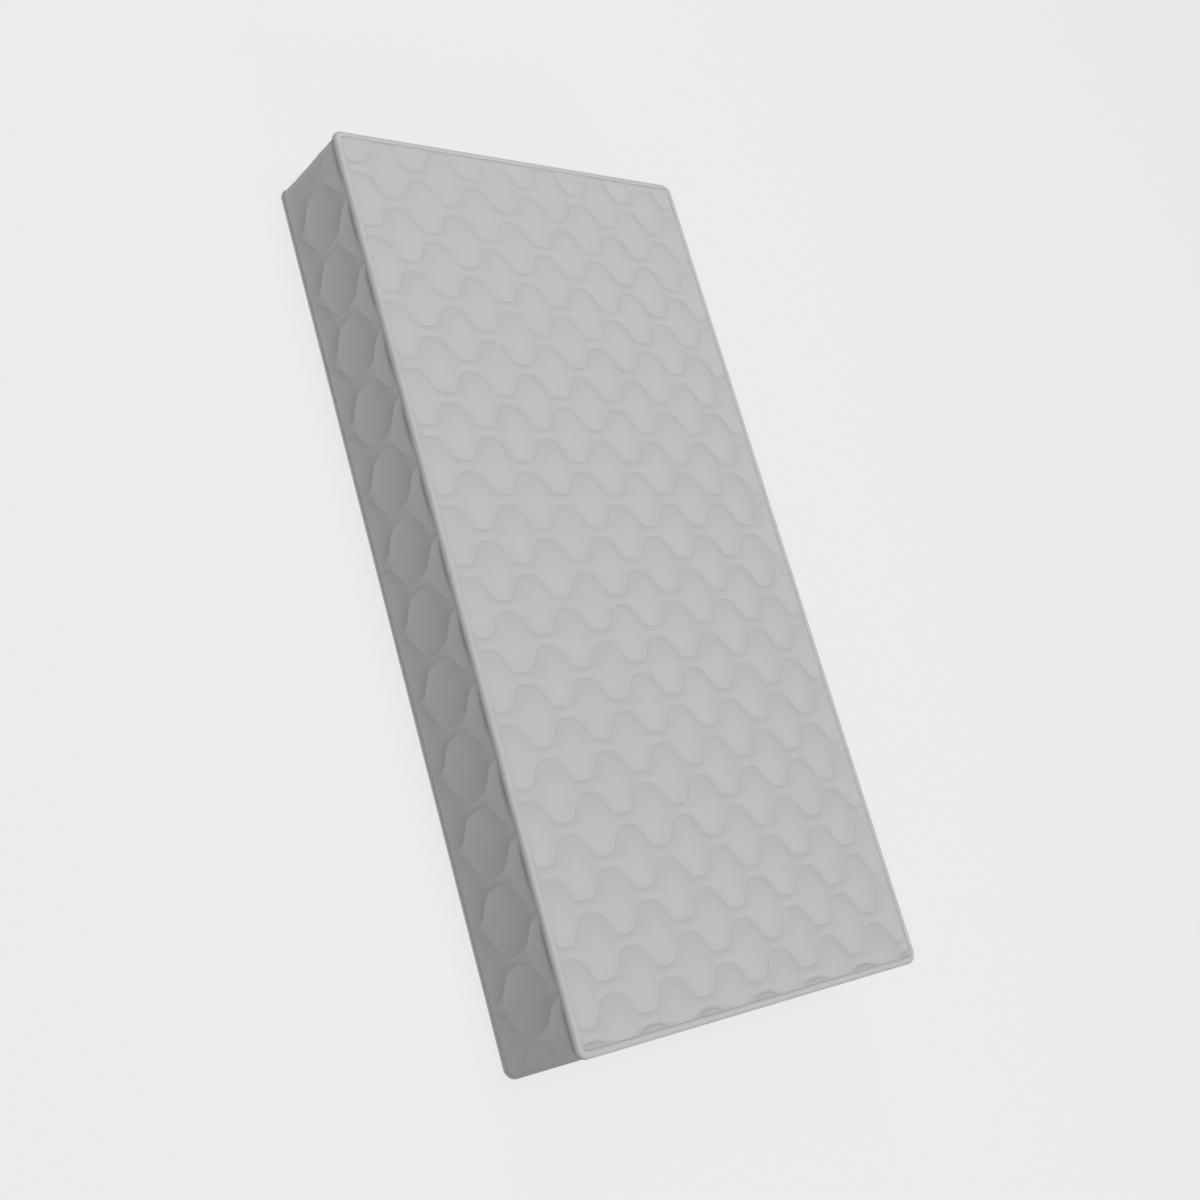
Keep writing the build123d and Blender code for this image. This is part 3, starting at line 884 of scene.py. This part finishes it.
def make_panel_stitches(name, side, puff, crown_z):
    """Sew the quilting stitches of one panel."""
    low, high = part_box(f"{name}_fabric")
    runs, facings = [], []
    for k in lines_between(PANEL_WAVE, low.y, high.y):
        x = even_steps(lambda u: line_place(PANEL_WAVE, u, k), low.x + SEWN_MARGIN, high.x - SEWN_MARGIN)
        y = line_place(PANEL_WAVE, x, k)
        z = panel_height(x, y, 0 * x, (high.x, high.y), side, puff, 0, crown_z)
        for part in unbroken(np.abs(y) < high.y - SEWN_MARGIN):
            runs.append(np.stack([x, y, z], axis=1)[part])
            facings.append(np.tile([0.0, 0.0, float(side)], (len(part), 1)))
    sew(f"{name}_stitches", runs, facings, "panel_cloth")


def make_border_stitches():
    """Sew the quilting stitches of the border."""
    runs, facings = [], []
    for k in lines_between(BORDER_WAVE, SEAM_S - path.length, SEAM_S):
        low, high = border_low.z + SEWN_MARGIN, border_high.z - SEWN_MARGIN
        z = even_steps(lambda u: line_place(BORDER_WAVE, u, k), low, high)
        s = line_place(BORDER_WAVE, z, k)
        points = border_point(s, z, border_offset(z, s, 0 * s, 0))
        facing = np.concatenate([path.at(s)[1], np.zeros((len(s), 1))], axis=1)
        sewn = (s > SEAM_S - path.length + SEWN_MARGIN) & (s < SEAM_S - SEWN_MARGIN)
        for part in unbroken(sewn & (z > border_foot(s) + SEWN_MARGIN)):
            runs.append(points[part])
            facings.append(facing[part])
    sew("border_stitches", runs, facings, "border_cloth")


# ---------------------------------------------------------------- piping

def ring_faces(rows, columns, first=0):
    """Return the quads of a closed tube: rows round its path and columns round its section."""
    index = first + np.arange(rows * columns).reshape(rows, columns)
    ahead, beside = np.roll(index, -1, axis=0), np.roll(index, -1, axis=1)
    return np.stack([index, beside, np.roll(ahead, -1, axis=1), ahead], axis=-1).reshape(-1, 4)


def make_piping(name, side):
    """Make the tape sewn round the upper (side +1) or lower (-1) edge: a round bead with flat flanges inside.

    Its section is drawn as inset from the outer edge and depth below that edge. A tunnel holds the cord.
    """
    edge_z = cad_high.z if side > 0 else cad_low.z
    panel = "top_panel_fabric" if side > 0 else "bottom_panel_fabric"
    sleeve_low, sleeve_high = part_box("inner_sleeve")
    seam = cad_high.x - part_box(panel)[1].x
    core = np.array([cad_high.x - sleeve_high.x, cad_high.z - sleeve_high.z if side > 0 else sleeve_low.z])
    reach = math.atan2(seam - PIPING_RADIUS, PIPING_RADIUS - BORDER_INSET)
    turn = np.linspace(reach, -math.pi / 2 - reach, BEAD_SIDES)
    arc = PIPING_RADIUS * np.stack([1 + np.sin(turn), 1 - np.cos(turn)], axis=1)
    bead = np.concatenate([arc, [(core[0], seam), core, (seam, core[1])]])
    hole = np.linspace(0, -2 * np.pi, TUNNEL_SIDES + 1)[:-1]
    tunnel = TUNNEL_DEPTH + TUNNEL_RADIUS * np.stack([np.cos(hole), np.sin(hole)], axis=1)
    edge = Outline(0)
    rows = round(edge.length / BEAD_STEP)
    s = np.linspace(0, edge.length, rows + 1)[:-1]
    point, outward = edge.at(s)
    wobble = BEAD_WOBBLE * smooth_noise(np.column_stack([point, np.full(rows, edge_z)]), scale=14, seed=8)
    points, faces, flats, creases = [], [], [], []
    for section in (bead, tunnel):
        swell = np.zeros((rows, len(section)))
        if section is bead:
            swell[:, BEAD_FIXED_SIDES:BEAD_SIDES - BEAD_FIXED_SIDES] = wobble[:, None]
        inset = section[:, 0] - swell
        flat = point[:, None] - outward[:, None] * inset[..., None]
        z = np.broadcast_to(edge_z - side * section[:, 1], inset.shape)
        around = np.concatenate([[0], np.cumsum(np.linalg.norm(np.diff(section, axis=0), axis=1))])
        quads = ring_faces(rows, len(section), first=sum(len(p) for p in points))
        faces.append(quads[:, ::-1] if side > 0 else quads)
        points.append(np.concatenate([flat, z[..., None]], axis=-1).reshape(-1, 3))
        flats.append(np.stack(np.broadcast_arrays(s[:, None], around[None]), axis=-1).reshape(-1, 2))
        # painted shade on the bead: darker where it meets the border, most on the upper bead, and where it
        # meets the panel
        crease = np.zeros(len(section))
        if section is bead:
            to_border = np.abs(around - around[BEAD_SIDES - 1])
            crease = crease_depth(to_border, PIPING_CREASE_SHADES[side]) + crease_depth(around, PIPING_PANEL_SHADE)
        creases.append(np.broadcast_to(crease, inset.shape).ravel())
    tape = add_piece(f"{name}_bead", np.concatenate(points), np.concatenate(faces), piping_cloth,
                     "piping_tape", cloth=np.concatenate(flats), crease=np.concatenate(creases))
    tape.data.set_sharp_from_angle(angle=math.radians(FLANGE_ANGLE))
    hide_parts(f"{name}_tape")


# ---------------------------------------------------------------- zip

def make_zip_tape(side):
    """Make one woven zip tape, which ripples slightly along its length."""
    low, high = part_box(f"zip_tape_{side}")
    along, up = TAPE_POINTS
    y, z = np.meshgrid(np.linspace(low.y, high.y, along), np.linspace(low.z, high.z, up), indexing="ij")
    across = np.sin(np.pi * (z - low.z) / (high.z - low.z))
    spot = np.stack([0 * y, y, 0 * y], axis=-1).reshape(-1, 3)
    ripple = TAPE_RIPPLE * smooth_noise(spot, scale=30, seed=2).reshape(y.shape)
    front = np.stack([high.x + ripple * across, y, z], axis=-1)
    back = np.stack([low.x + ripple * across, y, z], axis=-1)
    tape = closed_block(f"zip_{side}_tape", front, back, True, tape_cloth, "zip_tape", cloth=front[..., 1:])
    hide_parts(f"zip_tape_{side}")


def make_coil(side):
    """Make one coil of the zip: a nylon loop for each tooth, whose head reaches over the middle line."""
    low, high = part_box(f"zip_coil_{side}")
    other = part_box("zip_coil_lower" if side == "upper" else "zip_coil_upper")
    upward = 1 if side == "upper" else -1
    centre = (low.z + other[1].z) / 2 if side == "upper" else (high.z + other[0].z) / 2
    first = COIL_PITCH / 2 if side == "upper" else 0
    y = np.arange(low.y + COIL_PITCH / 2 + first, high.y - COIL_PITCH / 2, COIL_PITCH)
    heel = (high.z - low.z) + COIL_HEEL
    turn = np.linspace(0, 2 * np.pi, LOOP_POINTS + 1)[:-1]
    bend = np.sign(np.cos(turn)) * np.abs(np.cos(turn)) ** LOOP_SQUARENESS
    loop = np.stack([
        (low.x + high.x) / 2 + ((high.x - low.x) / 2 - COIL_WIRE) * np.sin(turn),
        -COIL_PITCH / 4 * np.sin(turn),
        centre + upward * ((heel - COIL_HEAD) / 2 + (heel + COIL_HEAD) / 2 * bend),
    ], axis=1)
    tangent = np.roll(loop, -1, axis=0) - np.roll(loop, 1, axis=0)
    normal = np.cross(tangent, [0.0, 1.0, 0.0])
    across = np.cross(normal, tangent)
    normal /= np.linalg.norm(normal, axis=1, keepdims=True)
    across /= np.linalg.norm(across, axis=1, keepdims=True)
    spoke = np.linspace(0, 2 * np.pi, WIRE_SIDES + 1)[:-1, None]
    ring = loop[:, None] + COIL_WIRE * (np.cos(spoke) * normal[:, None] + np.sin(spoke) * across[:, None])
    quads = ring_faces(*ring.shape[:2])[:, ::-1]
    points = ring.reshape(1, -1, 3) + np.array([0, 1, 0]) * y[:, None, None]
    faces = quads[None] + np.arange(len(y))[:, None, None] * points.shape[1]
    coil = add_piece(f"zip_{side}_coil", points.reshape(-1, 3), faces.reshape(-1, 4), coil_nylon, "zip_coil")
    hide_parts(f"zip_coil_{side}")


def make_end_tabs():
    """Make the two folded fabric tabs that cover the ends of the zip's tapes."""
    low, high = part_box("zip_end_tabs")
    inner_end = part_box("zip_end_stops")[1].y
    along, up = TAB_POINTS
    for number, (near, far) in enumerate(((inner_end, high.y), (-inner_end, low.y)), start=1):
        y, z = np.meshgrid(np.linspace(near, far, along), np.linspace(low.z, high.z, up), indexing="ij")
        fold = TAB_FOLD * np.exp(-np.abs(y - near) / TAB_FOLD_REACH)
        pillow = TAB_PILLOW * np.sin(np.pi * (z - low.z) / (high.z - low.z))
        front = np.stack([high.x + fold + pillow, y, z], axis=-1)
        back = np.stack([np.full_like(y, low.x), y, z], axis=-1)
        tab = closed_block(f"zip_end_tab_{number}", front, back, far > near, piping_cloth, "piping_tape",
                           cloth=front[..., 1:])
        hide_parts("zip_end_tabs")


# ---------------------------------------------------------------- making

make_panel("top_panel", 1, TOP_PUFF, TOP_REACH, TOP_CROWN_Z, PANEL_CAP)
make_panel("bottom_panel", -1, BOTTOM_PUFF, BOTTOM_REACH, cad_low.z, BOTTOM_CAP)
make_border()
make_panel_stitches("top_panel", 1, TOP_PUFF, TOP_CROWN_Z)
make_panel_stitches("bottom_panel", -1, BOTTOM_PUFF, cad_low.z)
make_border_stitches()
make_piping("top_piping", 1)
make_piping("bottom_piping", -1)
for half in ("upper", "lower"):
    make_zip_tape(half)
    make_coil(half)
make_end_tabs()

node_materials = {
    **core_foams,
    "inner_sleeve": sleeve_cloth,
    "top_panel_backing": backing_cloth,
    "bottom_panel_backing": backing_cloth,
    "border_backing": backing_cloth,
    "top_piping_cord": fill_foam,
    "bottom_piping_cord": fill_foam,
    "zip_end_stops": zip_metal,
    "zip_slider": zip_metal,
    "zip_pull": zip_metal,
}
for node_name, node_material in node_materials.items():
    for material_slot in bpy.data.objects[node_name].material_slots:
        material_slot.material = node_material


# ---------------------------------------------------------------- stage

def make_camera():
    """Place the camera at the viewing angle, rolled so that the length of the mattress runs up the view."""
    data = bpy.data.cameras.new("camera")
    data.lens = LENS
    data.clip_end = 100
    camera = add_object("camera", data)
    turn = Matrix.Rotation(math.radians(CAMERA_AZIMUTH), 3, "Z")
    tilt = Matrix.Rotation(math.radians(90 - CAMERA_ELEVATION), 3, "X")
    roll = Matrix.Rotation(math.radians(CAMERA_ROLL), 3, "Z")
    camera.matrix_world = Matrix.Translation(CAMERA_PLACE) @ (turn @ tilt @ roll).to_4x4()
    bpy.context.scene.camera = camera


def make_softbox(name, place, size, power):
    """Add a square area light at place that faces the middle of the mattress."""
    data = bpy.data.lights.new(name, "AREA")
    data.energy = power
    data.size = size
    light = add_object(name, data)
    light.location = place
    light.rotation_mode = "QUATERNION"
    light.rotation_quaternion = (Vector(MIDDLE) - Vector(place)).to_track_quat("-Z", "Y")


def make_floor():
    """Make the plain pale floor with distant walls and a ceiling, evenly bright like a studio sweep."""
    level = cad_low.z - FLOOR_GAP
    square = ((-1, -1), (1, -1), (1, 1), (-1, 1))
    corners = [(x * FLOOR_HALF, y * FLOOR_HALF, z) for z in (level, level + FLOOR_HALF) for x, y in square]
    sides = [(n, n + 4, (n + 1) % 4 + 4, (n + 1) % 4) for n in range(4)]
    mesh = bpy.data.meshes.new("floor")
    mesh.from_pydata(corners, [], [(0, 1, 2, 3), (7, 6, 5, 4), *sides])
    floor = add_object("floor", mesh)
    material, tree, shader, node = new_material("floor_sweep")
    shader.inputs["Base Color"].default_value = (*FLOOR_GREY, 1)
    shader.inputs["Roughness"].default_value = 1.0
    shader.inputs["Specular IOR Level"].default_value = 0.0
    shader.inputs["Emission Color"].default_value = (1, 1, 1, 1)
    shader.inputs["Emission Strength"].default_value = FLOOR_GLOW
    mesh.materials.append(material)
    floor.visible_diffuse = False
    floor.visible_glossy = False
    floor.visible_shadow = False


def make_studio():
    """Add the even surrounding light and the softboxes."""
    world = bpy.data.worlds.new("studio")
    bpy.context.scene.world = world
    world.use_nodes = True
    background = world.node_tree.nodes["Background"]
    background.inputs["Color"].default_value = (1, 1, 1, 1)
    background.inputs["Strength"].default_value = WORLD_LIGHT
    for name, (place, size, power) in SOFTBOXES.items():
        make_softbox(name, place, size, power)
    bpy.context.scene.view_settings.view_transform = "Standard"


make_camera()
make_floor()
make_studio()
